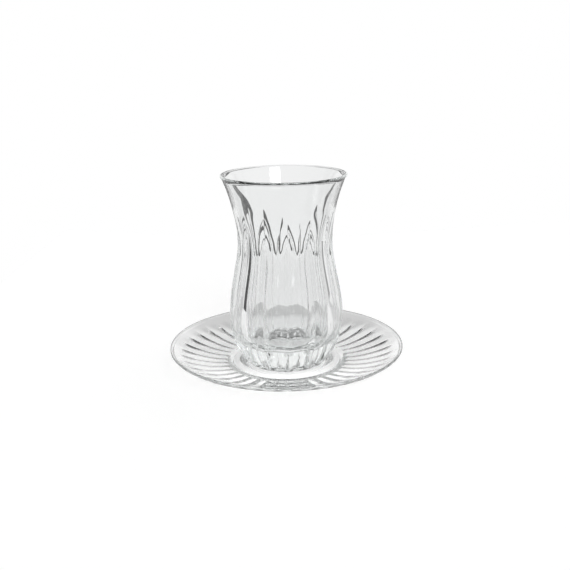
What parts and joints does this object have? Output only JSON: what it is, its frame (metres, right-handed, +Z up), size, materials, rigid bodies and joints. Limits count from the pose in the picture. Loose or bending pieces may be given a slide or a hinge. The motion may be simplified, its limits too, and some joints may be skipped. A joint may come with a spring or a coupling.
{
  "type": "tea glass with saucer",
  "caption": "Clear fluted tea glass with a pinched waist, standing empty in the well of its shallow fluted glass saucer. Holds a hot drink, and the saucer carries it.",
  "frame": {"origin": "centre of the saucer's foot ring, on the surface that it stands on", "axes": "+Z up along the common axis of glass and saucer, -Y towards the viewer"},
  "size_m": [0.115, 0.115, 0.0968],
  "materials": {
    "glass": "clear, fire polished",
    "saucer": "clear, fire polished"
  },
  "bodies": {
    "root": {"glass": "glass", "saucer": "saucer"}
  },
  "joints": []
}
